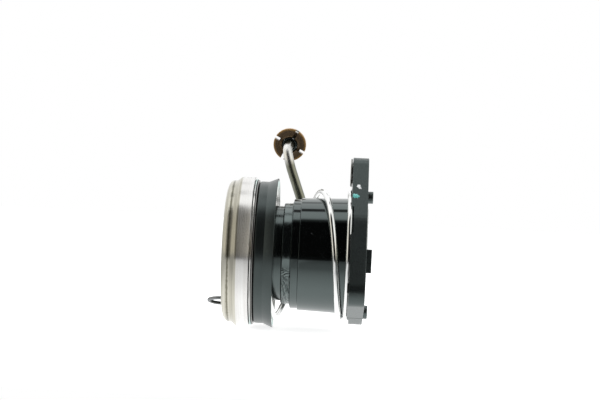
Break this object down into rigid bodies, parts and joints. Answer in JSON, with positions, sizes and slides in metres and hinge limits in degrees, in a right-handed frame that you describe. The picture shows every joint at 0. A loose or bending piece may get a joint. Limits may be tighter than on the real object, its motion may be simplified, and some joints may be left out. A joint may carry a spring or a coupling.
{
  "type": "clutch slave cylinder",
  "caption": "Concentric hydraulic clutch slave cylinder: flanged cylinder on a guide tube, annular piston with preload spring and release bearing, and a bent pipe with a plug-in connector.",
  "frame": {"origin": "on the bore's axis, in the face of the flange that bolts to the gearbox", "axes": "+X along the bore into the gearbox, the release bearing points to -X; +Z towards the first bolt ear; the pipe is on the +Y side"},
  "size_m": [0.0794, 0.1244, 0.1033],
  "materials": {
    "housing_black": "black moulded glass-filled plastic, glossy barrel and satin flange",
    "piston_black": "black moulded plastic, smooth",
    "collar_black": "black coated pressed steel, matt",
    "bearing_steel": "pressed steel, finely brushed round the axis",
    "tube_steel": "plain bright steel",
    "bush_steel": "dull grey steel",
    "spring_steel": "bright drawn spring wire",
    "ball_steel": "polished",
    "clip_steel": "dark grey spring wire",
    "pipe_olive": "olive-grey plating, satin",
    "brown_nylon": "brown translucent nylon",
    "seal_rubber": "black rubber",
    "pale_rubber": "off-white rubber"
  },
  "bodies": {
    "housing_body": {"housing": "housing_black", "guide_tube": "tube_steel", "guide_tube_seal": "seal_rubber", "stop_ring": "tube_steel", "face_seal": "pale_rubber", "wiper_ring": "seal_rubber", "preload_spring": "spring_steel", "hydraulic_pipe": "pipe_olive", "port_seal": "seal_rubber", "connector_collet": "brown_nylon", "connector_sleeve": "seal_rubber", "connector_spigot": "pipe_olive", "connector_seal": "seal_rubber", "bolt_bush_top": "bush_steel", "bolt_bush_near": "bush_steel", "bolt_bush_far": "bush_steel"},
    "piston_body": {"piston": "piston_black", "piston_seal": "seal_rubber", "spring_collar": "collar_black", "centring_spring": "tube_steel", "rear_shield": "collar_black", "bearing_inner_ring": "bearing_steel", "retaining_clip": "clip_steel"},
    "bearing_body": {"bearing_shell": "bearing_steel", "front_seal": "seal_rubber"},
    "cage_body": {"ball_cage": "brown_nylon", "ball_01": "ball_steel", "ball_02": "ball_steel", "ball_03": "ball_steel", "ball_04": "ball_steel", "ball_05": "ball_steel", "ball_06": "ball_steel", "ball_07": "ball_steel", "ball_08": "ball_steel", "ball_09": "ball_steel", "ball_10": "ball_steel", "ball_11": "ball_steel", "ball_12": "ball_steel", "ball_13": "ball_steel", "ball_14": "ball_steel", "ball_15": "ball_steel", "ball_16": "ball_steel"}
  },
  "joints": [
    {"name": "piston_slide", "type": "slide", "parent": "housing_body", "child": "piston_body", "axis": [1, 0, 0], "range_m": [0, 0.012], "stiffness_N_per_m": 2500, "springref_m": -0.03, "deforming": ["preload_spring"]},
    {"name": "bearing_spin", "type": "hinge", "parent": "piston_body", "child": "bearing_body", "pos_m": [-0.0644, 0, 0], "axis": [1, 0, 0], "continuous": true},
    {"name": "cage_spin", "type": "hinge", "parent": "piston_body", "child": "cage_body", "pos_m": [-0.0644, 0, 0], "axis": [1, 0, 0], "continuous": true}
  ],
  "couplings": [
    {"joint": "cage_spin", "follows": "bearing_spin", "ratio": 0.5385}
  ]
}
